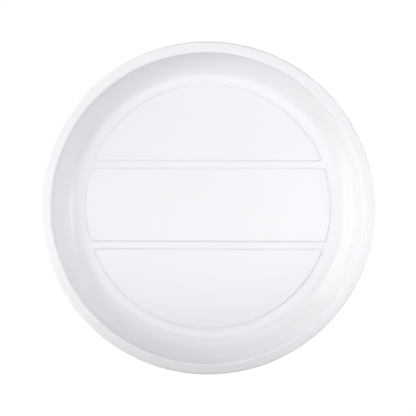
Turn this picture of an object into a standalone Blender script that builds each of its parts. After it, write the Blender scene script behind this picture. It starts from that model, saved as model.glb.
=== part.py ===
"""Rimmed turntable (lazy susan): a dished tray that turns on a ring of steel balls over a stationary footed base.

World frame: metres, +Z up, origin on the table under the turning axis. +Y is across the two floor channels.
"""
import math

import bmesh
import bpy
from mathutils import Matrix, Vector

MM = 0.001

# ---------------------------------------------------------------- driving dimensions, millimetres
# heights above the table
BASE_UNDER = 2.0          # underside of the base, held up by the feet
BASE_PLATE_TOP = 4.5
RACE_LOW_TOP = 9.5        # rim of the lower race
BALL_Z = 12.2             # ball centres
RACE_HIGH_BOTTOM = 14.9   # rim of the upper race
FLOOR_UNDER = 18.5        # underside of the tray floor
FLOOR_TOP = 21.0          # annulus and channel level
PANEL_TOP = 21.8          # raised panels
RIM_TOP = 45.0

# tray
RIM_R = 152.5
LIP_FLAT_OUT_R = 151.0
LIP_IN_R = 143.8
COVE_R = 118.0            # where the flat floor turns up into the wall
COVE_A = 25.45            # horizontal half axis of the wall's ellipse
COVE_B = 30.6             # vertical half axis
COVE_END = math.radians(75.0)
WALL_T = 2.5
SKIRT_BOTTOM = 38.8
SKIRT_T = 2.1
PANEL_R = 114.6           # raised round field
PANEL_SLOPE = 1.8         # width of its sloping edge
BAND_UP_Y = 40.0          # centre line of the channel on the +Y side
BAND_DN_Y = -35.4         # centre line of the channel on the -Y side
BAND_W = 5.9

# bearing
RACE_R = 72.0
BALL_R = 4.0
BALLS = 14
RACE_GAP = 0.3
RACE_HALF_W = 7.0

# base
BASE_R = 105.0
BASE_SKIRT_T = 2.5
BASE_SKIRT_TOP = 16.4     # leaves a narrow shadow gap under the tray floor
CENTRE_PLATE_UNDER = 5.5  # the middle of the base is cored from below, over radial ribs
CENTRE_PLATE_TOP = 8.0
CORE_R = 63.0
BASE_RIBS = 12

# pivot
HUB_R = 8.0
HUB_BOTTOM = 9.8
PILOT_R = 2.3
PILOT_TOP = 16.8
SLEEVE_IN_R = 8.3
SLEEVE_OUT_R = 11.0
SLEEVE_TOP = 13.0
COLUMN_R = 13.6
WEB_BOTTOM = 7.5
WEB_TOP = 9.5
WEB_HOLE_R = 3.3
CUP_R = 10.0
CAP_SEAT_R = 12.8
CAP_SEAT_TOP = 3.5

# feet
FEET = 6
FOOT_CIRCLE_R = 91.0
FOOT_R = 7.0
FOOT_TOP = 3.2
POCKET_R = 7.3
POCKET_TOP = 3.5

TRAY_SEG = 64
BASE_SEG = 56
CAGE_SEG = 56
HUB_SEG = 28


# ---------------------------------------------------------------- helpers
def clear_scene():
    for ob in list(bpy.data.objects):
        bpy.data.objects.remove(ob, do_unlink=True)


def material(name, rgb, rough, metal):
    m = bpy.data.materials.new(name)
    m.use_nodes = True
    p = m.node_tree.nodes["Principled BSDF"]
    p.inputs["Base Color"].default_value = (rgb[0], rgb[1], rgb[2], 1.0)
    p.inputs["Roughness"].default_value = rough
    p.inputs["Metallic"].default_value = metal
    m.diffuse_color = (rgb[0], rgb[1], rgb[2], 1.0)
    return m


def finish(bm, name, mat, smooth=True):
    """Turns a bmesh drawn in millimetres into one object in metres."""
    bmesh.ops.remove_doubles(bm, verts=bm.verts[:], dist=1e-4)
    bmesh.ops.recalc_face_normals(bm, faces=bm.faces[:])
    bmesh.ops.scale(bm, vec=(MM, MM, MM), verts=bm.verts[:])
    me = bpy.data.meshes.new(name)
    bm.to_mesh(me)
    bm.free()
    if smooth:
        me.shade_smooth()
        me.set_sharp_from_angle(angle=math.radians(32.0))
    ob = bpy.data.objects.new(name, me)
    bpy.context.scene.collection.objects.link(ob)
    if mat is not None:
        me.materials.append(mat)
    return ob


def spin_chain(bm, chain, seg, closed):
    """Turns a chain of (radius, height) points about Z. An open chain's two end circles are filled flat."""
    vs = [bm.verts.new((r, 0.0, z)) for r, z in chain]
    n = len(vs)
    es = [bm.edges.new((vs[i], vs[(i + 1) % n])) for i in range(n if closed else n - 1)]
    bmesh.ops.spin(bm, geom=vs + es, cent=(0, 0, 0), axis=(0, 0, 1), angle=2 * math.pi, steps=seg,
                   use_merge=True, use_duplicate=False)
    bmesh.ops.remove_doubles(bm, verts=bm.verts[:], dist=1e-4)
    if not closed:
        rim = [e for e in bm.edges if e.is_boundary]
        bmesh.ops.holes_fill(bm, edges=rim, sides=0)


def turned(name, chain, seg, mat, closed=False):
    bm = bmesh.new()
    spin_chain(bm, chain, seg, closed)
    return finish(bm, name, mat)


def arc(cx, cz, r, a0, a1, n):
    """n+1 points of an arc in the (radius, height) plane, degrees from +r towards +z."""
    return [(cx + r * math.cos(math.radians(a0 + (a1 - a0) * i / n)),
             cz + r * math.sin(math.radians(a0 + (a1 - a0) * i / n))) for i in range(n + 1)]


def hidden(ob):
    ob.hide_render = True
    ob.display_type = 'WIRE'
    return ob


def boolean(ob, other, op):
    m = ob.modifiers.new(op.lower() + "_" + other.name, 'BOOLEAN')
    m.operation = op
    m.solver = 'EXACT'
    m.object = other
    hidden(other)
    return m


def prism(bm, lower, upper, z0, z1):
    """Closed prism between two outlines with the same number of points."""
    a = [bm.verts.new((x, y, z0)) for x, y in lower]
    b = [bm.verts.new((x, y, z1)) for x, y in upper]
    n = len(a)
    bm.faces.new(list(reversed(a)))
    bm.faces.new(b)
    for i in range(n):
        j = (i + 1) % n
        bm.faces.new((a[i], a[j], b[j], b[i]))


def field_outline(r, y0, y1, n):
    """Outline of the part of a circle between two lines of constant y; a limit of None is the circle's own end."""
    hi = math.pi / 2 if y1 is None else math.asin(y1 / r)
    lo = -math.pi / 2 if y0 is None else math.asin(y0 / r)
    right = [lo + (hi - lo) * i / n for i in range(n + 1)]
    pts = [(r * math.cos(a), r * math.sin(a)) for a in right]
    left = [(-x, y) for x, y in reversed(pts)]
    if y1 is None:
        left = left[1:]
    if y0 is None:
        left = left[:-1]
    return pts + left


def box(bm, x0, x1, y0, y1, z0, z1, turn=0.0):
    res = bmesh.ops.create_cube(bm, size=1.0)
    m = (Matrix.Rotation(turn, 4, 'Z') @ Matrix.Translation(((x0 + x1) / 2, (y0 + y1) / 2, (z0 + z1) / 2))
         @ Matrix.Diagonal((x1 - x0, y1 - y0, z1 - z0, 1.0)))
    bmesh.ops.transform(bm, matrix=m, verts=res["verts"])


def cylinder(bm, x, y, r, z0, z1, seg):
    bmesh.ops.create_cone(bm, cap_ends=True, cap_tris=False, segments=seg, radius1=r, radius2=r, depth=z1 - z0,
                          matrix=Matrix.Translation((x, y, (z0 + z1) / 2)))


# ---------------------------------------------------------------- profiles
def wall_inside(t):
    return COVE_R + COVE_A * math.sin(t), FLOOR_TOP + COVE_B * (1.0 - math.cos(t))


def wall_outside(t):
    """The inner wall moved out by the wall thickness along its normal."""
    x, z = wall_inside(t)
    tx, tz = COVE_A * math.cos(t), COVE_B * math.sin(t)
    k = WALL_T / math.hypot(tx, tz)
    return x + tz * k, z - tx * k


def smooth_corner(p, corner, q, n):
    """n+1 points of a quadratic fillet from p to q under the corner point."""
    out = []
    for i in range(n + 1):
        s = i / n
        out.append(tuple((1 - s) ** 2 * a + 2 * s * (1 - s) * c + s * s * b for a, c, b in zip(p, corner, q)))
    return out


def groove(side, n):
    """Ball groove seen in section: side +1 arches over the balls, -1 dips under them. Runs from outside in."""
    r = BALL_R + RACE_GAP
    edge = RACE_HIGH_BOTTOM - BALL_Z
    a = math.degrees(math.asin(edge / r))
    if side > 0:
        return arc(RACE_R, BALL_Z, r, a, 180.0 - a, n)
    return arc(RACE_R, BALL_Z, r, 180.0 + a, 360.0 - a, n)


def tray_chain():
    cove_n, out_n = 8, 6
    pts = [wall_inside(COVE_END * i / cove_n) for i in range(cove_n + 1)]
    ex, ez = pts[-1]
    tx, tz = COVE_A * math.cos(COVE_END), COVE_B * math.sin(COVE_END)
    corner = (ex + tx / tz * (RIM_TOP - ez), RIM_TOP)
    pts += smooth_corner((ex, ez), corner, (LIP_IN_R + 0.5, RIM_TOP), 3)[1:]
    fillet = RIM_R - LIP_FLAT_OUT_R
    pts += arc(LIP_FLAT_OUT_R, RIM_TOP - fillet, fillet, 90.0, 0.0, 3)
    pts += [(RIM_R, SKIRT_BOTTOM + 0.5), (RIM_R - 0.5, SKIRT_BOTTOM), (RIM_R - SKIRT_T, SKIRT_BOTTOM)]
    under = RIM_TOP - WALL_T
    pts += [(RIM_R - SKIRT_T, under - 0.8), (RIM_R - SKIRT_T - 0.8, under)]
    ox, oz = wall_outside(COVE_END)
    pts += [(ox + 0.6, under)]
    pts += [wall_outside(COVE_END * (1.0 - i / out_n)) for i in range(1, out_n + 1)]
    pts += [(RACE_R + RACE_HALF_W + 0.6, FLOOR_UNDER), (RACE_R + RACE_HALF_W, RACE_HIGH_BOTTOM)]
    pts += groove(+1, 4)
    pts += [(RACE_R - RACE_HALF_W, RACE_HIGH_BOTTOM), (RACE_R - RACE_HALF_W - 0.6, FLOOR_UNDER)]
    return pts


def base_chain():
    w = RACE_HALF_W
    pts = [(RACE_R - w - 0.3, CENTRE_PLATE_TOP), (RACE_R - w, RACE_LOW_TOP)]
    pts += groove(-1, 4)
    pts += [(RACE_R + w, RACE_LOW_TOP), (RACE_R + w + 0.6, BASE_PLATE_TOP)]
    wall = BASE_R - BASE_SKIRT_T
    pts += [(wall - 0.8, BASE_PLATE_TOP), (wall, BASE_PLATE_TOP + 0.8), (wall, BASE_SKIRT_TOP - 0.5),
            (wall + 0.5, BASE_SKIRT_TOP), (BASE_R - 0.7, BASE_SKIRT_TOP), (BASE_R, BASE_SKIRT_TOP - 0.7)]
    pts += arc(BASE_R - 1.6, BASE_UNDER + 1.6, 1.6, 0.0, -90.0, 2)
    core_top = RACE_LOW_TOP - 4.1
    pts += [(RACE_R + 5.0, BASE_UNDER), (RACE_R + 4.5, core_top), (RACE_R - 4.5, core_top),
            (RACE_R - 5.0, BASE_UNDER), (CORE_R + 0.5, BASE_UNDER), (CORE_R, CENTRE_PLATE_UNDER)]
    return pts


# ---------------------------------------------------------------- pieces
def build():
    clear_scene()

    white = material("tray_gloss_white", (0.86, 0.86, 0.875), 0.16, 0.0)
    base_white = material("base_gloss_white", (0.84, 0.84, 0.85), 0.24, 0.0)
    nylon = material("cage_natural_nylon", (0.78, 0.77, 0.73), 0.45, 0.0)
    steel = material("ball_steel", (0.72, 0.72, 0.74), 0.08, 1.0)
    zinc = material("screw_zinc", (0.66, 0.67, 0.69), 0.28, 1.0)
    acetal = material("washer_acetal", (0.80, 0.80, 0.78), 0.40, 0.0)
    cap_white = material("cap_gloss_white", (0.82, 0.82, 0.83), 0.28, 0.0)
    grey_rubber = material("foot_rubber", (0.16, 0.16, 0.17), 0.75, 0.0)

    # --- rotating tray
    tray = turned("tray", tray_chain(), TRAY_SEG, white)

    half = BAND_W / 2
    top_y, mid_hi, mid_lo, bot_y = BAND_UP_Y + half, BAND_UP_Y - half, BAND_DN_Y + half, BAND_DN_Y - half
    s, r = PANEL_SLOPE, PANEL_R
    bury = 1.0
    grow = s * bury / (PANEL_TOP - FLOOR_TOP)   # the slope carried on into the floor it is fused to

    bm = bmesh.new()
    for y0, y1, n in ((top_y, None, 18), (mid_lo, mid_hi, 8), (None, bot_y, 18)):
        def limits(d):
            return (None if y0 is None else y0 + d, None if y1 is None else y1 - d)
        prism(bm, field_outline(r + grow, *limits(-grow), n), field_outline(r - s, *limits(s), n),
              FLOOR_TOP - bury, PANEL_TOP)
    boolean(tray, finish(bm, "make_panels", None, smooth=False), 'UNION')

    bm = bmesh.new()
    rib_half = 0.9
    for i in range(8):
        a = math.radians(22.5 + 45.0 * i)
        box(bm, HUB_R - 2.5, RACE_R - RACE_HALF_W + 1.2, -rib_half, rib_half, FLOOR_UNDER - 2.6, FLOOR_UNDER + 1.0, a)
        box(bm, RACE_R + RACE_HALF_W - 1.2, BASE_R - 7.0, -rib_half, rib_half, FLOOR_UNDER - 2.6, FLOOR_UNDER + 1.0, a)
    boolean(tray, finish(bm, "make_tray_ribs", None, smooth=False), 'UNION')

    hub = turned("make_tray_hub", [(HUB_R - 0.6, HUB_BOTTOM), (HUB_R, HUB_BOTTOM + 0.6), (HUB_R, FLOOR_UNDER + 1.2)],
                 HUB_SEG, None)
    boolean(tray, hub, 'UNION')
    pilot = turned("cut_pilot", [(PILOT_R, HUB_BOTTOM - 2.0), (PILOT_R, PILOT_TOP)], 16, None)
    boolean(tray, pilot, 'DIFFERENCE')

    # --- stationary base
    base = turned("base", base_chain(), BASE_SEG, base_white)
    bm = bmesh.new()
    for i in range(BASE_RIBS):
        box(bm, COLUMN_R - 0.2, CORE_R + 1.2, -0.8, 0.8, BASE_UNDER + 0.5, CENTRE_PLATE_UNDER + 1.0,
            2 * math.pi * (i + 0.5) / BASE_RIBS)
    boolean(base, finish(bm, "make_base_ribs", None, smooth=False), 'UNION')
    column = turned("make_column", [(COLUMN_R + 1.8, BASE_UNDER), (COLUMN_R + 1.4, CENTRE_PLATE_UNDER + 0.8),
                                    (COLUMN_R, CENTRE_PLATE_UNDER + 1.2), (COLUMN_R, WEB_TOP),
                                    (SLEEVE_OUT_R, WEB_TOP + 0.8), (SLEEVE_OUT_R, SLEEVE_TOP - 0.4),
                                    (SLEEVE_OUT_R - 0.4, SLEEVE_TOP)], HUB_SEG, None)
    boolean(base, column, 'UNION')
    bore = turned("cut_centre", [(CAP_SEAT_R, BASE_UNDER - 1.0), (CAP_SEAT_R, CAP_SEAT_TOP), (CUP_R, CAP_SEAT_TOP),
                                 (CUP_R, WEB_BOTTOM), (WEB_HOLE_R, WEB_BOTTOM), (WEB_HOLE_R, WEB_TOP),
                                 (SLEEVE_IN_R, WEB_TOP), (SLEEVE_IN_R, SLEEVE_TOP + 1.0)], HUB_SEG, None)
    boolean(base, bore, 'DIFFERENCE')
    foot_angles = [math.radians(30.0 + 360.0 * i / FEET) for i in range(FEET)]
    bm = bmesh.new()
    for a in foot_angles:
        cylinder(bm, FOOT_CIRCLE_R * math.cos(a), FOOT_CIRCLE_R * math.sin(a), POCKET_R, BASE_UNDER - 1.0, POCKET_TOP,
                 20)
    boolean(base, finish(bm, "cut_pockets", None, smooth=False), 'DIFFERENCE')

    # --- ball cage
    cage = turned("ball_cage", [(RACE_R + 5.6, 11.0), (RACE_R + 5.6, 13.4), (RACE_R + 5.2, 13.8),
                                (RACE_R - 5.2, 13.8), (RACE_R - 5.6, 13.4), (RACE_R - 5.6, 11.0),
                                (RACE_R - 5.2, 10.6), (RACE_R + 5.2, 10.6)], CAGE_SEG, nylon, closed=True)
    ball_angles = [2 * math.pi * i / BALLS for i in range(BALLS)]
    bm = bmesh.new()
    for a in ball_angles:
        cylinder(bm, RACE_R * math.cos(a), RACE_R * math.sin(a), BALL_R + RACE_GAP, 9.0, 15.0, 14)
    boolean(cage, finish(bm, "cut_ball_seats", None, smooth=False), 'DIFFERENCE')

    # --- balls, each with its own centre as origin
    for i, a in enumerate(ball_angles):
        bm = bmesh.new()
        bmesh.ops.create_uvsphere(bm, u_segments=12, v_segments=7, radius=BALL_R)
        ob = finish(bm, "bearing_ball_%02d" % (i + 1), steel, smooth=False)
        ob.data.shade_smooth()
        ob.location = Vector((RACE_R * math.cos(a), RACE_R * math.sin(a), BALL_Z)) * MM
        ob.rotation_euler = (0.0, math.pi / 2, a)

    # --- shoulder screw: head below, shoulder through the web, thread up into the hub
    screw = turned("pivot_screw", [(4.0, 3.6), (5.0, 4.4), (5.0, 6.0), (3.0, 6.0), (3.0, 9.5), (2.0, 9.5), (2.0, 16.0),
                                   (1.5, 16.5)], 20, zinc)
    bm = bmesh.new()
    box(bm, -2.6, 2.6, -0.5, 0.5, 3.0, 5.0)
    boolean(screw, finish(bm, "cut_slot_a", None, smooth=False), 'DIFFERENCE')
    bm = bmesh.new()
    box(bm, -0.5, 0.5, -2.6, 2.6, 3.0, 4.9)
    boolean(screw, finish(bm, "cut_slot_b", None, smooth=False), 'DIFFERENCE')

    turned("pivot_washer", [(8.0, 6.5), (8.0, 7.0), (7.8, 7.2), (3.3, 7.2), (3.3, 6.3), (7.8, 6.3)], 24, acetal,
           closed=True)

    # --- snap-in cover under the base: disc with a spigot ring and a finger notch
    cap = turned("pivot_cap", [(11.9, 2.2), (12.4, 2.6), (12.4, 3.2), (9.6, 3.2), (9.7, 4.6), (9.2, 5.2), (8.4, 5.2),
                               (8.4, 3.3)], HUB_SEG, cap_white)
    bm = bmesh.new()
    box(bm, 11.2, 13.5, -2.0, 2.0, 1.0, 4.0)
    boolean(cap, finish(bm, "cut_notch", None, smooth=False), 'DIFFERENCE')

    # --- rubber feet
    for i, a in enumerate(foot_angles):
        chain = [(FOOT_R - 0.8, 0.0), (FOOT_R - 0.25, 0.3), (FOOT_R, 0.9), (FOOT_R, FOOT_TOP)]
        ob = turned("rubber_foot_%d" % (i + 1), chain, 18, grey_rubber)
        ob.location = Vector((FOOT_CIRCLE_R * math.cos(a), FOOT_CIRCLE_R * math.sin(a), 0.0)) * MM


build()
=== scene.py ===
import math

import bmesh
import bpy
from mathutils import Matrix, Vector


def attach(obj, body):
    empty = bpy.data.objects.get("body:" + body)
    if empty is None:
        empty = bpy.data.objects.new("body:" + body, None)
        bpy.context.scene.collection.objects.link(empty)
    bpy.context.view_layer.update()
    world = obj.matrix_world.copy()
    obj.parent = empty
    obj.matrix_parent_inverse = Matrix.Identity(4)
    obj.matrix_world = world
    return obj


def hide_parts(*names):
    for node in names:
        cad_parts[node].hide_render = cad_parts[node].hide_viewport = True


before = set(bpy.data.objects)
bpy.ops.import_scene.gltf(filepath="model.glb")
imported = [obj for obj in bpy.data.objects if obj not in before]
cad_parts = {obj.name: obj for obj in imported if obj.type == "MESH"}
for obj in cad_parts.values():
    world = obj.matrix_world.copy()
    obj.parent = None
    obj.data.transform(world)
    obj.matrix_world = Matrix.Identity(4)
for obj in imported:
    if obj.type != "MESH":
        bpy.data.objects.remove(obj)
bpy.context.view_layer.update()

MM = 0.001
PI = math.pi
scene = bpy.context.scene

# ------------------------------------------------------------------ the part's own sizes, millimetres, as in the CAD
RIM_TOP, RIM_R, LIP_OUT, LIP_IN = 45.0, 152.5, 151.0, 144.3
FLOOR, PANEL, UNDER = 21.0, 21.8, 18.5
COVE_R, COVE_A, COVE_B, COVE_END, WALL = 118.0, 25.45, 30.6, math.radians(75.0), 2.5
SKIRT_Z, SKIRT_T = 38.8, 2.1
PANEL_R, SLOPE = 114.6, 1.8
BAND_UP, BAND_DN, BAND_W = 40.0, -35.4, 5.9
RACE_R, BALL_R, BALL_Z, GAP, RACE_W = 72.0, 4.0, 12.2, 0.3, 7.0
RACE_LO, RACE_HI = 9.5, 14.9
BASE_R, BASE_Z, BASE_TOP = 105.0, 2.0, 16.4


# ------------------------------------------------------------------ mesh tools
def rounded(pts, closed=False, step=10.0):
    """A chain of (r, z, fillet radius) corners as a smooth polyline of (r, z)."""
    out, n = [], len(pts)
    for i in range(n):
        r, z, rad = pts[i]
        if rad <= 0 or (not closed and i in (0, n - 1)):
            out.append((r, z))
            continue
        p = Vector((r, z))
        a = Vector(pts[i - 1][:2]) - p
        b = Vector(pts[(i + 1) % n][:2]) - p
        la, lb = a.length, b.length
        a.normalize()
        b.normalize()
        ang = math.acos(max(-1.0, min(1.0, a.dot(b))))
        if ang > math.radians(178.5):
            out.append((r, z))
            continue
        t = min(rad / math.tan(ang / 2), la * 0.48, lb * 0.48)
        rr = t * math.tan(ang / 2)
        c = p + (a + b).normalized() * (rr / math.sin(ang / 2))
        s, e = p + a * t, p + b * t
        a0 = math.atan2(s.y - c.y, s.x - c.x)
        a1 = math.atan2(e.y - c.y, e.x - c.x)
        d = (a1 - a0 + PI) % (2 * PI) - PI
        k = max(2, int(abs(math.degrees(d)) / step + 0.5))
        out += [(c.x + rr * math.cos(a0 + d * j / k), c.y + rr * math.sin(a0 + d * j / k)) for j in range(k + 1)]
    return out


def arc(cx, cz, r, a0, a1, n):
    return [(cx + r * math.cos(math.radians(a0 + (a1 - a0) * i / n)),
             cz + r * math.sin(math.radians(a0 + (a1 - a0) * i / n))) for i in range(n + 1)]


def clean(chain, tol=0.004):
    out = [chain[0]]
    for p in chain[1:]:
        if math.hypot(p[0] - out[-1][0], p[1] - out[-1][1]) > tol:
            out.append(p)
    return out


def revolve(bm, chain, seg, closed=False, start=None):
    """Turns a (r, z) chain about Z; start is an existing ring of vertices for the chain's first point."""
    rings = []
    for i, (r, z) in enumerate(chain):
        if i == 0 and start is not None:
            rings.append(start)
            continue
        rings.append([bm.verts.new((r * math.cos(2 * PI * k / seg), r * math.sin(2 * PI * k / seg), z))
                      for k in range(seg)])
    n = len(rings)
    for i in range(n if closed else n - 1):
        a, b = rings[i], rings[(i + 1) % n]
        for k in range(seg):
            j = (k + 1) % seg
            bm.faces.new((a[k], a[j], b[j], b[k]))
    return rings


def loops_to_faces(bm, loops, zs):
    rows = [[bm.verts.new((x, y, z)) for x, y in pts] for pts, z in zip(loops, zs)]
    n = len(rows[0])
    for a, b in zip(rows, rows[1:]):
        for k in range(n):
            j = (k + 1) % n
            bm.faces.new((a[k], a[j], b[j], b[k]))
    return rows


def loop_edges(bm, ring):
    bm.edges.ensure_lookup_table()
    return [bm.edges.get((ring[k], ring[(k + 1) % len(ring)])) or bm.edges.new((ring[k], ring[(k + 1) % len(ring)]))
            for k in range(len(ring))]


def to_object(bm, name, mats, angle=40.0, recalc=True):
    if recalc:
        bmesh.ops.recalc_face_normals(bm, faces=bm.faces[:])
    bmesh.ops.scale(bm, vec=(MM, MM, MM), verts=bm.verts[:])
    me = bpy.data.meshes.new(name)
    bm.to_mesh(me)
    bm.free()
    for m in mats:
        me.materials.append(m)
    me.shade_smooth()
    me.set_sharp_from_angle(angle=math.radians(angle))
    ob = bpy.data.objects.new(name, me)
    scene.collection.objects.link(ob)
    return ob


def box(bm, x0, x1, y0, y1, z0, z1, turn=0.0, bevel=0.0, seg=2):
    """A box with rounded edges, added to bm."""
    b = bmesh.new()
    bmesh.ops.create_cube(b, size=1.0)
    bmesh.ops.transform(b, verts=b.verts[:], matrix=Matrix.Translation(((x0 + x1) / 2, (y0 + y1) / 2, (z0 + z1) / 2))
                        @ Matrix.Diagonal((x1 - x0, y1 - y0, z1 - z0, 1.0)))
    if bevel > 0:
        bmesh.ops.bevel(b, geom=b.edges[:], offset=bevel, segments=seg, affect='EDGES', profile=0.5)
    bmesh.ops.transform(b, verts=b.verts[:], matrix=Matrix.Rotation(turn, 4, 'Z'))
    join(bm, b)


def join(bm, b):
    tmp = bpy.data.meshes.new("tmp_join")
    b.to_mesh(tmp)
    b.free()
    bm.from_mesh(tmp)
    bpy.data.meshes.remove(tmp)


def puck(bm, chain, seg, x=0.0, y=0.0):
    """A turned closed body whose chain starts and ends at a flat round face."""
    b = bmesh.new()
    rings = revolve(b, chain, seg)
    b.faces.new(list(reversed(rings[0])))
    b.faces.new(rings[-1])
    bmesh.ops.recalc_face_normals(b, faces=b.faces[:])
    bmesh.ops.translate(b, verts=b.verts[:], vec=(x, y, 0.0))
    join(bm, b)


def helper(bm, name):
    bmesh.ops.recalc_face_normals(bm, faces=bm.faces[:])
    bmesh.ops.scale(bm, vec=(MM, MM, MM), verts=bm.verts[:])
    me = bpy.data.meshes.new(name)
    bm.to_mesh(me)
    bm.free()
    ob = bpy.data.objects.new(name, me)
    scene.collection.objects.link(ob)
    return ob


def apply_booleans(ob, steps, angle=40.0):
    """Runs each (operation, helper object) on ob and keeps the result as plain mesh."""
    for op, other in steps:
        m = ob.modifiers.new(op.lower(), 'BOOLEAN')
        m.operation, m.solver, m.object = op, 'EXACT', other
    dg = bpy.context.evaluated_depsgraph_get()
    new = bpy.data.meshes.new_from_object(ob.evaluated_get(dg), depsgraph=dg)
    ob.modifiers.clear()
    old = ob.data
    name = old.name
    ob.data = new
    bpy.data.meshes.remove(old)
    new.name = name
    for op, other in steps:
        me = other.data
        bpy.data.objects.remove(other, do_unlink=True)
        bpy.data.meshes.remove(me)
    new.shade_smooth()
    new.set_sharp_from_angle(angle=math.radians(angle))
    return ob


# ------------------------------------------------------------------ materials
def group_links(mat):
    nt = mat.node_tree
    return nt, nt.nodes, nt.links


def surface(name, color, rough, metal=0.0, spec=0.5, coat=0.0, coat_rough=0.05, sss=0.0, ior=1.5):
    m = bpy.data.materials.new(name)
    m.use_nodes = True
    nt, nodes, links = group_links(m)
    p = nodes["Principled BSDF"]
    p.inputs["Base Color"].default_value = (*color, 1.0)
    p.inputs["Roughness"].default_value = rough
    p.inputs["Metallic"].default_value = metal
    p.inputs["IOR"].default_value = ior
    p.inputs["Specular IOR Level"].default_value = spec
    p.inputs["Coat Weight"].default_value = coat
    p.inputs["Coat Roughness"].default_value = coat_rough
    if sss > 0:
        p.inputs["Subsurface Weight"].default_value = sss
        p.inputs["Subsurface Radius"].default_value = (1.0, 0.95, 0.9)
        p.inputs["Subsurface Scale"].default_value = 0.002
    co = nodes.new("ShaderNodeTexCoord")
    return m, nodes, links, p, co


def noise(nodes, links, co, scale, detail=2.0, rough=0.5, distort=0.0, stretch=None):
    n = nodes.new("ShaderNodeTexNoise")
    n.inputs["Scale"].default_value = scale
    n.inputs["Detail"].default_value = detail
    n.inputs["Roughness"].default_value = rough
    n.inputs["Distortion"].default_value = distort
    if stretch is not None:
        mp = nodes.new("ShaderNodeMapping")
        mp.inputs["Scale"].default_value = stretch[0]
        mp.inputs["Rotation"].default_value = stretch[1]
        links.new(co.outputs["Object"], mp.inputs["Vector"])
        links.new(mp.outputs["Vector"], n.inputs["Vector"])
    else:
        links.new(co.outputs["Object"], n.inputs["Vector"])
    return n.outputs["Fac"]


def span(nodes, links, fac, lo, hi, a=0.3, b=0.7):
    """Maps a noise value onto lo to hi."""
    r = nodes.new("ShaderNodeMapRange")
    r.inputs["From Min"].default_value = a
    r.inputs["From Max"].default_value = b
    r.inputs["To Min"].default_value = lo
    r.inputs["To Max"].default_value = hi
    links.new(fac, r.inputs["Value"])
    return r.outputs["Result"]


def math_node(nodes, links, op, a, b):
    n = nodes.new("ShaderNodeMath")
    n.operation = op
    for k, v in enumerate((a, b)):
        if isinstance(v, (int, float)):
            n.inputs[k].default_value = v
        else:
            links.new(v, n.inputs[k])
    return n.outputs[0]


def tint(nodes, links, fac, c0, c1, a=0.3, b=0.7):
    r = nodes.new("ShaderNodeValToRGB")
    e = r.color_ramp.elements
    e[0].position, e[0].color = a, (*c0, 1.0)
    e[1].position, e[1].color = b, (*c1, 1.0)
    links.new(fac, r.inputs["Fac"])
    return r.outputs["Color"]


def bump(nodes, links, height, strength, dist, into=None):
    b = nodes.new("ShaderNodeBump")
    b.inputs["Strength"].default_value = strength
    b.inputs["Distance"].default_value = dist
    links.new(height, b.inputs["Height"])
    if into is not None:
        links.new(into, b.inputs["Normal"])
    return b.outputs["Normal"]


def edges(nodes, links, lo=0.50, hi=0.56):
    """0 on flats, 1 on convex edges."""
    g = nodes.new("ShaderNodeNewGeometry")
    r = nodes.new("ShaderNodeMapRange")
    r.inputs["From Min"].default_value = lo
    r.inputs["From Max"].default_value = hi
    links.new(g.outputs["Pointiness"], r.inputs["Value"])
    return r.outputs["Result"]


def tray_plastic():
    """Polished white moulding: faint colour drift, a hint of flow waviness, hairline wiping marks, duller edges."""
    c = (0.842, 0.837, 0.881)
    m, nodes, links, p, co = surface("tray_white_gloss", c, 0.11, sss=0.08)
    drift = noise(nodes, links, co, 9.0, 2.0)
    links.new(tint(nodes, links, drift, tuple(x * 0.993 for x in c), tuple(min(1, x * 1.004) for x in c)),
              p.inputs["Base Color"])
    hair = noise(nodes, links, co, 240.0, 3.0, 0.6, 0.2, ((1.0, 14.0, 1.0), (0.0, 0.0, 0.6)))
    hair2 = noise(nodes, links, co, 210.0, 3.0, 0.6, 0.2, ((13.0, 1.0, 1.0), (0.0, 0.0, 0.25)))
    cloud = noise(nodes, links, co, 34.0, 3.0)
    r = span(nodes, links, cloud, 0.175, 0.215)
    r = math_node(nodes, links, 'ADD', r, span(nodes, links, hair, 0.0, 0.035, 0.60, 0.78))
    r = math_node(nodes, links, 'ADD', r, span(nodes, links, hair2, 0.0, 0.03, 0.62, 0.80))
    wear = math_node(nodes, links, 'MULTIPLY', edges(nodes, links), span(nodes, links, noise(nodes, links, co, 420.0, 2.0), 0.02, 0.12))
    r = math_node(nodes, links, 'ADD', r, wear)
    links.new(r, p.inputs["Roughness"])
    wave = noise(nodes, links, co, 22.0, 1.0)
    peel = noise(nodes, links, co, 850.0, 2.0)
    n = bump(nodes, links, wave, 0.06, 0.0003)
    n = bump(nodes, links, peel, 0.04, 0.00002, n)
    links.new(n, p.inputs["Normal"])
    return m


def base_plastic(name="base_white_semigloss", c=(0.80, 0.80, 0.81), r0=0.24, r1=0.33):
    """White moulding with a fine spark-eroded grain."""
    m, nodes, links, p, co = surface(name, c, 0.28, sss=0.06)
    drift = noise(nodes, links, co, 12.0, 2.0)
    links.new(tint(nodes, links, drift, tuple(x * 0.985 for x in c), tuple(min(1, x * 1.006) for x in c)),
              p.inputs["Base Color"])
    cloud = noise(nodes, links, co, 60.0, 3.0)
    grain = noise(nodes, links, co, 2600.0, 3.0, 0.65)
    r = span(nodes, links, cloud, r0, r1)
    r = math_node(nodes, links, 'ADD', r, span(nodes, links, grain, 0.0, 0.06))
    r = math_node(nodes, links, 'ADD', r, math_node(nodes, links, 'MULTIPLY', edges(nodes, links), 0.08))
    links.new(r, p.inputs["Roughness"])
    n = bump(nodes, links, noise(nodes, links, co, 30.0, 1.0), 0.12, 0.0003)
    n = bump(nodes, links, grain, 0.22, 0.00006, n)
    links.new(n, p.inputs["Normal"])
    return m


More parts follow.
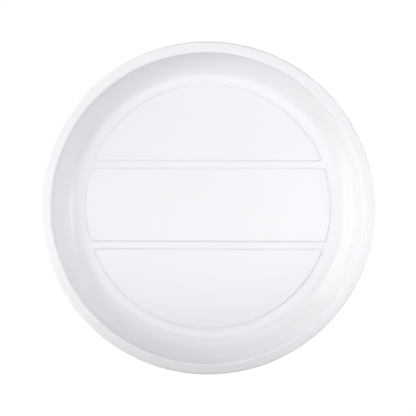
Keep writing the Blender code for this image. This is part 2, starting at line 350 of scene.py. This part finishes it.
def nylon():
    c = (0.74, 0.725, 0.67)
    m, nodes, links, p, co = surface("cage_natural_nylon", c, 0.42, sss=0.25)
    links.new(tint(nodes, links, noise(nodes, links, co, 40.0, 3.0), tuple(x * 0.96 for x in c), c), p.inputs["Base Color"])
    links.new(span(nodes, links, noise(nodes, links, co, 180.0, 2.0), 0.36, 0.50), p.inputs["Roughness"])
    links.new(bump(nodes, links, noise(nodes, links, co, 1400.0, 2.0), 0.15, 0.00005), p.inputs["Normal"])
    return m


def ball_steel():
    c = (0.68, 0.685, 0.70)
    m, nodes, links, p, co = surface("ball_polished_steel", c, 0.07, metal=1.0)
    film = noise(nodes, links, co, 90.0, 3.0)
    links.new(tint(nodes, links, film, (0.60, 0.60, 0.61), (0.72, 0.725, 0.74)), p.inputs["Base Color"])
    links.new(span(nodes, links, noise(nodes, links, co, 320.0, 3.0), 0.05, 0.15), p.inputs["Roughness"])
    links.new(bump(nodes, links, noise(nodes, links, co, 1800.0, 2.0), 0.05, 0.00001), p.inputs["Normal"])
    return m


def zinc():
    """Zinc plate: cool grey, turned rings on the head, slightly mottled."""
    m, nodes, links, p, co = surface("screw_bright_zinc", (0.62, 0.64, 0.67), 0.27, metal=1.0)
    mott = noise(nodes, links, co, 500.0, 3.0)
    links.new(tint(nodes, links, mott, (0.54, 0.56, 0.60), (0.70, 0.715, 0.735)), p.inputs["Base Color"])
    w = nodes.new("ShaderNodeTexWave")
    w.wave_type, w.rings_direction = 'RINGS', 'Z'
    w.inputs["Scale"].default_value = 1500.0
    w.inputs["Distortion"].default_value = 1.2
    w.inputs["Detail"].default_value = 1.0
    links.new(co.outputs["Object"], w.inputs["Vector"])
    links.new(span(nodes, links, mott, 0.20, 0.36), p.inputs["Roughness"])
    links.new(bump(nodes, links, w.outputs["Fac"], 0.12, 0.00003), p.inputs["Normal"])
    return m


def acetal():
    c = (0.77, 0.77, 0.75)
    m, nodes, links, p, co = surface("washer_white_acetal", c, 0.38, sss=0.2)
    links.new(tint(nodes, links, noise(nodes, links, co, 120.0, 2.0), tuple(x * 0.97 for x in c), c), p.inputs["Base Color"])
    links.new(span(nodes, links, noise(nodes, links, co, 700.0, 3.0), 0.30, 0.46), p.inputs["Roughness"])
    links.new(bump(nodes, links, noise(nodes, links, co, 1600.0, 2.0), 0.10, 0.00003), p.inputs["Normal"])
    return m


def rubber():
    """Soft grey rubber: fine grain, dust caught in it, scuffed on its edge."""
    m, nodes, links, p, co = surface("foot_grey_rubber", (0.11, 0.11, 0.115), 0.7, spec=0.35)
    dust = noise(nodes, links, co, 260.0, 4.0, 0.7)
    links.new(tint(nodes, links, dust, (0.085, 0.085, 0.09), (0.15, 0.15, 0.152), 0.35, 0.75), p.inputs["Base Color"])
    grain = noise(nodes, links, co, 2200.0, 3.0, 0.7)
    r = span(nodes, links, dust, 0.60, 0.80)
    r = math_node(nodes, links, 'ADD', r, math_node(nodes, links, 'MULTIPLY', edges(nodes, links), 0.10))
    links.new(r, p.inputs["Roughness"])
    links.new(bump(nodes, links, grain, 0.35, 0.00008), p.inputs["Normal"])
    return m


MAT_TRAY = tray_plastic()
MAT_BASE = base_plastic()
MAT_CAP = base_plastic("cap_white_satin", (0.79, 0.79, 0.80), 0.30, 0.40)
MAT_CAGE, MAT_BALL, MAT_SCREW, MAT_WASHER, MAT_FOOT = nylon(), ball_steel(), zinc(), acetal(), rubber()


# ------------------------------------------------------------------ tray
def wall_in(t):
    return COVE_R + COVE_A * math.sin(t), FLOOR + COVE_B * (1.0 - math.cos(t))


def wall_out(t):
    x, z = wall_in(t)
    tx, tz = COVE_A * math.cos(t), COVE_B * math.sin(t)
    k = WALL / math.hypot(tx, tz)
    return x + tz * k, z - tx * k


def panel_loop(d, y0, y1, rc=2.3, deg=1.25):
    """Outline of one raised floor panel, moved in by d: a piece of the round field with rounded corners."""
    big, pts = PANEL_R - rc, []

    def corner(y, s):
        cy = y + s * rc
        return math.sqrt(big * big - cy * cy), cy

    def sweep(cx, cy, r, a0, a1, n):
        for i in range(n):
            a = a0 + (a1 - a0) * i / n
            pts.append((cx + r * math.cos(a), cy + r * math.sin(a)))

    def count(a0, a1):
        return max(2, int(abs(math.degrees(a1 - a0)) / deg))

    r, rb, nc = rc - d, PANEL_R - d, 10
    if y0 is not None:
        x0, c0 = corner(y0, +1)
        a0 = math.atan2(c0, x0)
        sweep(x0, c0, r, -PI / 2, a0, nc)
    else:
        a0 = -PI / 2
    if y1 is not None:
        x1, c1 = corner(y1, -1)
        a1 = math.atan2(c1, x1)
        sweep(0, 0, rb, a0, a1, count(a0, a1))
        sweep(x1, c1, r, a1, PI / 2, nc)
        pts.append((x1, c1 + r))
        sweep(-x1, c1, r, PI / 2, PI - a1, nc)
        sweep(0, 0, rb, PI - a1, PI - a0, count(a0, a1))
    else:
        sweep(0, 0, rb, a0, PI - a0, count(a0, PI - a0))
    if y0 is not None:
        sweep(-x0, c0, r, PI - a0, 3 * PI / 2, nc)
        pts.append((-x0, c0 - r))
    return pts


def build_tray(seg=288):
    bm = bmesh.new()
    chain = [(116.2, FLOOR), (117.2, FLOOR)]
    chain += [wall_in(COVE_END * (i / 46.0)) for i in range(47)]
    ex, ez = chain[-1]
    tx, tz = COVE_A * math.cos(COVE_END), COVE_B * math.sin(COVE_END)
    c, q = (ex + tx / tz * (RIM_TOP - ez), RIM_TOP), (LIP_IN, RIM_TOP)
    for i in range(1, 11):
        s = i / 10.0
        chain.append(tuple((1 - s) ** 2 * a + 2 * s * (1 - s) * b + s * s * e for a, b, e in zip((ex, ez), c, q)))
    under = RIM_TOP - WALL
    chain += rounded([(LIP_IN + 0.5, RIM_TOP, 0), (RIM_R, RIM_TOP, RIM_R - LIP_OUT), (RIM_R, SKIRT_Z, 0.6),
                      (RIM_R - SKIRT_T, SKIRT_Z, 0.5), (RIM_R - SKIRT_T, under, 0.9), (145.7, under, 1.0),
                      (*wall_out(COVE_END * 0.93), 0)], step=9.0)
    chain += [wall_out(COVE_END * (0.93 - 0.93 * i / 36.0)) for i in range(1, 37)]
    gr = arc(RACE_R, BALL_Z, BALL_R + GAP, math.degrees(math.asin((RACE_HI - BALL_Z) / (BALL_R + GAP))),
             180.0 - math.degrees(math.asin((RACE_HI - BALL_Z) / (BALL_R + GAP))), 20)
    chain += rounded([(100.0, UNDER, 0), (RACE_R + RACE_W + 0.5, UNDER, 0.8), (RACE_R + RACE_W, RACE_HI, 0.5),
                      (gr[0][0] + 0.25, RACE_HI, 0)])
    chain += gr
    chain += rounded([(gr[-1][0] - 0.25, RACE_HI, 0), (RACE_R - RACE_W, RACE_HI, 0.5),
                      (RACE_R - RACE_W - 0.5, UNDER, 0.8), (62.0, UNDER, 0)])
    chain = clean(chain)
    rings = revolve(bm, chain, seg)
    bm.faces.new(rings[-1])

    # floor: flat sheet with the three panels let into it
    h = BAND_W / 2
    limits = ((BAND_UP + h, None), (BAND_DN + h, BAND_UP - h), (None, BAND_DN - h))
    rim_edges = loop_edges(bm, rings[0])
    steps = 12
    lo, hi = -0.18, SLOPE
    for y0, y1 in limits:
        ds = [-0.9, -0.55] + [lo + (hi - lo) * i / steps for i in range(steps + 1)] + [hi + 0.15, hi + 0.35]
        zs = []
        for d in ds:
            s = max(0.0, min(1.0, (d - lo) / (hi - lo)))
            k = min(1.0, max(0.0, (s - 0.18) / 0.82))
            zs.append(FLOOR + (PANEL - FLOOR) * (0.16 * min(1.0, s / 0.18) ** 2 + 0.84 * (1 - (1 - k) ** 2)))
        rows = loops_to_faces(bm, [panel_loop(d, y0, y1) for d in ds], zs)
        rim_edges += loop_edges(bm, rows[0])
        bm.faces.new(rows[-1])
    bmesh.ops.triangle_fill(bm, use_beauty=True, use_dissolve=False, edges=rim_edges, normal=(0, 0, 1))
    # cut the wide panel tops into small faces
    for no in ((1, 0, 0), (0, 1, 0)):
        for k in range(-9, 10):
            wide = [f for f in bm.faces if f.calc_area() > 60.0 and f.calc_center_median().z > PANEL - 0.01
                    and max(v.co.z for v in f.verts) < PANEL + 0.01]
            geom = wide + list({e for f in wide for e in f.edges}) + list({v for f in wide for v in f.verts})
            bmesh.ops.bisect_plane(bm, geom=geom, plane_co=tuple(12.3 * k * c + 0.37 * c for c in no), plane_no=no, dist=0.001)
    ob = to_object(bm, "tray_shell", [MAT_TRAY], 35.0)

    ribs = bmesh.new()
    for i in range(8):
        a = math.radians(22.5 + 45.0 * i)
        box(ribs, 5.5, RACE_R - RACE_W + 1.2, -0.9, 0.9, UNDER - 2.6, UNDER + 1.0, a, 0.35)
        box(ribs, RACE_R + RACE_W - 1.2, BASE_R - 7.0, -0.9, 0.9, UNDER - 2.6, UNDER + 1.0, a, 0.35)
    ribs = helper(ribs, "h_ribs")
    hub = bmesh.new()
    puck(hub, rounded([(6.0, 9.8, 0), (8.0, 9.8, 0.6), (8.0, UNDER - 1.2, 0), (9.4, UNDER + 0.15, 0), (9.4, UNDER + 1.2, 0)]), 64)
    hub = helper(hub, "h_hub")
    pilot = bmesh.new()
    puck(pilot, rounded([(3.1, 9.0, 0), (3.1, 9.6, 0), (2.3, 10.4, 0), (2.3, 16.8, 0)]), 40)
    pilot = helper(pilot, "h_pilot")
    apply_booleans(ob, [('UNION', ribs), ('UNION', hub), ('DIFFERENCE', pilot)], 35.0)
    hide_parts("tray")
    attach(ob, "tray")
    return ob


# ------------------------------------------------------------------ base
def build_base(seg=240):
    bm = bmesh.new()
    w, sk = RACE_W, BASE_R - 2.5
    a = math.degrees(math.asin((BALL_Z - RACE_LO) / (BALL_R + GAP)))
    gr = arc(RACE_R, BALL_Z, BALL_R + GAP, 180.0 + a, 360.0 - a, 20)
    chain = rounded([(60.0, 8.0, 0), (RACE_R - w - 0.3, 8.0, 0.4), (RACE_R - w, RACE_LO, 0.4),
                     (gr[0][0] - 0.25, RACE_LO, 0)])
    chain += gr
    chain += rounded([(gr[-1][0] + 0.25, RACE_LO, 0), (RACE_R + w, RACE_LO, 0.5), (RACE_R + w + 0.6, 4.5, 0.8),
                      (sk, 4.5, 1.0), (sk, BASE_TOP, 0.7), (BASE_R, BASE_TOP, 0.9), (BASE_R, 2.0, 1.7),
                      (RACE_R + 5.0, 2.0, 0.5), (RACE_R + 4.5, 5.4, 0.6), (RACE_R - 4.5, 5.4, 0.6),
                      (RACE_R - 5.0, 2.0, 0.5), (63.5, 2.0, 0.5), (63.0, 5.5, 0.6), (60.0, 5.5, 0)])
    chain = clean(chain)
    rings = revolve(bm, chain, seg)
    bm.faces.new(list(reversed(rings[0])))
    bm.faces.new(rings[-1])
    ob = to_object(bm, "base_shell", [MAT_BASE], 35.0)

    ribs = bmesh.new()
    for i in range(12):
        box(ribs, 13.4, 64.2, -0.8, 0.8, 2.5, 6.5, 2 * PI * (i + 0.5) / 12, 0.3)
    ribs = helper(ribs, "h_ribs")
    col = bmesh.new()
    puck(col, rounded([(14.0, 2.0, 0), (15.4, 2.0, 0.5), (15.0, 6.3, 0), (13.6, 6.7, 0), (13.6, 9.5, 0.5),
                       (11.0, 10.3, 0.5), (11.0, 13.0, 0.4), (9.0, 13.0, 0)]), 96)
    col = helper(col, "h_column")
    cut = bmesh.new()
    puck(cut, rounded([(13.3, 1.0, 0), (13.3, 1.7, 0), (12.8, 2.2, 0), (12.8, 3.5, 0), (10.0, 3.5, 0), (10.0, 7.5, 0),
                       (3.3, 7.5, 0), (3.3, 9.5, 0), (8.3, 9.5, 0.3), (8.3, 12.7, 0), (8.8, 13.2, 0), (8.8, 14.0, 0)]), 96)
    cut = helper(cut, "h_cut")
    pk = bmesh.new()
    for i in range(6):
        t = math.radians(30.0 + 60.0 * i)
        puck(pk, rounded([(7.7, 1.0, 0), (7.7, 1.6, 0), (7.3, 2.3, 0), (7.3, 3.5, 0)]), 72, 91.0 * math.cos(t), 91.0 * math.sin(t))
    pk = helper(pk, "h_pockets")
    apply_booleans(ob, [('UNION', ribs), ('UNION', col), ('DIFFERENCE', cut), ('DIFFERENCE', pk)], 35.0)
    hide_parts("base")
    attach(ob, "base")
    return ob


# ------------------------------------------------------------------ bearing and pivot
def build_bearing():
    bm = bmesh.new()
    r, o = RACE_R, 5.6
    revolve(bm, clean(rounded([(r + o, 10.6, 0.5), (r + o, 13.8, 0.5), (r - o, 13.8, 0.5), (r - o, 10.6, 0.5)], True)),
            224, closed=True)
    ob = to_object(bm, "cage_ring", [MAT_CAGE], 35.0)
    cut = bmesh.new()
    n = 14
    for i in range(n):
        t = 2 * PI * i / n
        puck(cut, [(5.0, 9.8), (4.3, 11.0), (4.3, 13.4), (5.0, 14.6)], 48, r * math.cos(t), r * math.sin(t))
    apply_booleans(ob, [('DIFFERENCE', helper(cut, "h_seats"))], 35.0)
    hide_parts("ball_cage")
    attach(ob, "cage")
    for i in range(n):
        t = 2 * PI * i / n
        b = bmesh.new()
        bmesh.ops.create_icosphere(b, subdivisions=4, radius=BALL_R)
        bmesh.ops.translate(b, verts=b.verts[:], vec=(r * math.cos(t), r * math.sin(t), BALL_Z))
        ball = to_object(b, "ball_%02d" % (i + 1), [MAT_BALL], 180.0)
        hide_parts("bearing_ball_%02d" % (i + 1))
        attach(ball, "ball_%02d" % (i + 1))


def build_pivot():
    bm = bmesh.new()
    puck(bm, rounded([(2.6, 3.6, 0), (4.0, 3.6, 0.5), (5.0, 4.5, 0.5), (5.0, 6.0, 0.25), (3.0, 6.0, 0.15), (3.0, 9.5, 0.25),
                      (2.0, 9.5, 0.1), (2.0, 16.0, 0.2), (1.5, 16.5, 0)]), 64)
    ob = to_object(bm, "shoulder_screw", [MAT_SCREW], 35.0)
    c1, c2 = bmesh.new(), bmesh.new()
    box(c1, -2.6, 2.6, -0.5, 0.5, 3.0, 5.0, 0, 0.12)
    box(c2, -0.5, 0.5, -2.6, 2.6, 3.0, 4.9, 0, 0.12)
    apply_booleans(ob, [('DIFFERENCE', helper(c1, "h_a")), ('DIFFERENCE', helper(c2, "h_b"))], 35.0)
    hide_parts("pivot_screw")
    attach(ob, "tray")

    bm = bmesh.new()
    revolve(bm, clean(rounded([(8.0, 6.3, 0.2), (8.0, 7.2, 0.2), (3.3, 7.2, 0.15), (3.3, 6.3, 0.15)], True)), 72, closed=True)
    ob = to_object(bm, "thrust_washer", [MAT_WASHER], 35.0)
    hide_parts("pivot_washer")
    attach(ob, "tray")

    bm = bmesh.new()
    puck(bm, rounded([(4.0, 2.45, 0), (8.2, 2.45, 0.3), (8.6, 2.2, 0.3), (12.4, 2.2, 0.5), (12.4, 3.2, 0.2), (9.6, 3.2, 0.1),
                      (9.7, 4.6, 0.3), (9.2, 5.2, 0.2), (8.4, 5.2, 0.2), (8.4, 3.3, 0.2), (4.0, 3.3, 0)]), 96)
    ob = to_object(bm, "snap_cap", [MAT_CAP], 35.0)
    cut = bmesh.new()
    box(cut, 11.2, 13.5, -2.0, 2.0, 1.0, 4.0, 0, 0.4)
    apply_booleans(ob, [('DIFFERENCE', helper(cut, "h_notch"))], 35.0)
    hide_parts("pivot_cap")
    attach(ob, "base")


def build_feet():
    for i in range(6):
        t = math.radians(30.0 + 60.0 * i)
        bm = bmesh.new()
        puck(bm, rounded([(1.2, 0.35, 0), (2.4, 0.35, 0.2), (2.7, 0.0, 0.2), (3.9, 0.0, 0.2), (4.2, 0.35, 0.2),
                          (4.9, 0.35, 0.2), (5.2, 0.0, 0.2), (7.0, 0.0, 0.8), (7.0, 3.2, 0.25), (5.0, 3.2, 0)], step=15.0),
             64, 91.0 * math.cos(t), 91.0 * math.sin(t))
        ob = to_object(bm, "foot_%d" % (i + 1), [MAT_FOOT], 35.0)
        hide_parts("rubber_foot_%d" % (i + 1))
        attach(ob, "base")


build_tray()
build_base()
build_bearing()
build_pivot()
build_feet()


# ------------------------------------------------------------------ stage, light, camera
def build_stage():
    """A glowing white sweep seen by the camera, its glow dimmed under the object as a painted contact shadow, and the
    paler grey table top that the object's light and reflections meet.
    """
    def sheet(name, chain, seg=128):
        bm = bmesh.new()
        revolve(bm, chain, seg)
        bmesh.ops.recalc_face_normals(bm, faces=bm.faces[:])
        me = bpy.data.meshes.new(name)
        bm.to_mesh(me)
        bm.free()
        me.shade_smooth()
        ob = bpy.data.objects.new(name, me)
        scene.collection.objects.link(ob)
        m = bpy.data.materials.new(name)
        m.use_nodes = True
        me.materials.append(m)
        return ob, m.node_tree.nodes, m.node_tree.links, m.node_tree.nodes["Principled BSDF"]

    flat = [(0.0004, 0.0), (0.05, 0.0), (0.105, 0.0), (0.16, 0.0), (0.3, 0.0), (0.8, 0.0), (1.8, 0.0), (2.6, 0.0)]
    ob, nodes, links, p = sheet("studio_floor_glow_painted_shadow", flat + arc(2.6, 0.6, 0.6, -90, 0, 16)[1:] + [(3.2, 1.1)])
    p.inputs["Base Color"].default_value = (0.0, 0.0, 0.0, 1)
    p.inputs["Specular IOR Level"].default_value = 0.0
    p.inputs["Emission Color"].default_value = (1, 1, 1, 1)
    co = nodes.new("ShaderNodeTexCoord")
    ln = nodes.new("ShaderNodeVectorMath")
    ln.operation = 'LENGTH'
    links.new(co.outputs["Object"], ln.inputs[0])
    # painted contact shadow: the floor's glow is weakest under the object and rises to full white just outside the rim
    links.new(span(nodes, links, ln.outputs["Value"], 0.30, 1.02, 0.085, 0.156), p.inputs["Emission Strength"])
    ob.visible_diffuse = ob.visible_glossy = ob.visible_transmission = ob.visible_shadow = False
    ob, nodes, links, p = sheet("studio_table", [(r, z - 0.0002) for r, z in flat])
    p.inputs["Base Color"].default_value = (0.45, 0.45, 0.45, 1)
    p.inputs["Roughness"].default_value = 0.7
    ob.visible_camera = False
    # dark card over the front of the object; it shades the near rim
    me = bpy.data.meshes.new("studio_flag")
    me.from_pydata([(-0.42, -0.62, 0.33), (0.42, -0.62, 0.33), (0.42, -0.165, 0.33), (-0.42, -0.165, 0.33)], [], [(0, 1, 2, 3)])
    ob = bpy.data.objects.new("studio_flag", me)
    scene.collection.objects.link(ob)
    m = bpy.data.materials.new("studio_flag")
    m.use_nodes = True
    m.node_tree.nodes["Principled BSDF"].inputs["Base Color"].default_value = (0.03, 0.03, 0.03, 1)
    m.node_tree.nodes["Principled BSDF"].inputs["Roughness"].default_value = 0.9
    me.materials.append(m)
    ob.visible_camera = False


def lamp(name, loc, aim, size, energy, size_y=None, shape='RECTANGLE', spread=180.0, color=(1, 1, 1)):
    d = bpy.data.lights.new(name, 'AREA')
    d.shape = shape
    d.size = size
    d.size_y = size_y or size
    d.energy = energy
    d.spread = math.radians(spread)
    d.color = color
    ob = bpy.data.objects.new(name, d)
    scene.collection.objects.link(ob)
    ob.location = loc
    ob.rotation_euler = (Vector(aim) - Vector(loc)).to_track_quat('-Z', 'Y').to_euler()
    ob.visible_camera = False
    return ob


def build_light():
    w = bpy.data.worlds.new("studio")
    scene.world = w
    w.use_nodes = True
    bg = w.node_tree.nodes["Background"]
    bg.inputs["Color"].default_value = (0.96, 0.97, 1.0, 1)
    bg.inputs["Strength"].default_value = 0.01
    # overhead panel with a brighter middle, a second one to the right, and two lower strips
    lamp("overhead", (0.0, -0.09, 1.25), (0.0, -0.09, 0.0), 1.9, 3.12, 0.62)
    lamp("overhead_core", (0.0, -0.10, 1.245), (0.0, -0.10, 0.0), 1.9, 1.6, 0.2)
    lamp("overhead_right", (1.155, -0.09, 1.25), (1.155, -0.09, 0.0), 0.41, 4.95, 0.62)
    lamp("strip_back", (0.0, 0.435, 0.7), (0.0, 0.435, 0.0), 1.4, 1.64, 0.23)
    lamp("strip_front", (0.0, -0.155, 0.7), (0.0, -0.155, 0.0), 1.4, 0.792, 0.13)
    lamp("fill_back", (0.0, 0.75, 0.5), (0.0, 0.0, 0.03), 0.9, 0.44, 0.5)
    # tall window at the left, brightest high up and low down; white card at the right
    warm = (1.0, 0.99, 0.95)
    lamp("window_high", (-1.3, 0.0, 1.2), (0.0, 0.0, 1.2), 1.6, 13.3, 0.6, color=warm)
    lamp("window_mid", (-1.3, 0.0, 0.7), (0.0, 0.0, 0.7), 1.6, 3.27, 0.4, color=warm)
    lamp("window_low", (-1.3, 0.0, 0.25), (0.0, 0.0, 0.25), 1.6, 9.6, 0.5, color=(1.0, 0.995, 0.93))
    lamp("card_right", (1.3, 0.0, 0.525), (0.0, 0.0, 0.525), 1.6, 8.51, 1.05)
    lamp("corner_front_right", (1.131, -1.131, 1.0), (0.0, 0.0, 1.0), 1.0, 5.25, 1.0)
    # two round bulbs behind the diffuser
    lamp("bulb_right", (0.18, -0.115, 1.24), (0.18, -0.115, 0.0), 0.23, 0.19, shape='DISK', color=warm)
    lamp("bulb_left", (-0.23, -0.125, 1.24), (-0.23, -0.125, 0.0), 0.2, 0.12, shape='DISK')


def build_camera():
    cam = bpy.data.cameras.new("camera")
    ob = bpy.data.objects.new("camera", cam)
    scene.collection.objects.link(ob)
    cam.sensor_width = 36.0
    cam.sensor_fit = 'HORIZONTAL'
    dist, mm_per_px = 1.1, 0.90684
    target = Vector((0.00091, 0.00175, RIM_TOP * MM))
    place = target + Vector((0.030, 0.106, dist))
    back = Vector((0.030 / dist, 0.087 / dist, 1.0)).normalized()
    right = Vector((0.0, 1.0, 0.0)).cross(back).normalized()
    rot = Matrix((right, back.cross(right), back)).transposed()
    cam.lens = 36.0 * dist / (416 * mm_per_px * MM)
    cam.shift_y = -0.05
    ob.matrix_world = Matrix.Translation(place) @ rot.to_4x4()
    cam.clip_start, cam.clip_end = 0.01, 20.0
    scene.camera = ob


build_stage()
build_light()
build_camera()
scene.view_settings.view_transform = 'Standard'
scene.view_settings.look = 'None'
scene.view_settings.exposure = 0.0
scene.view_settings.gamma = 1.0
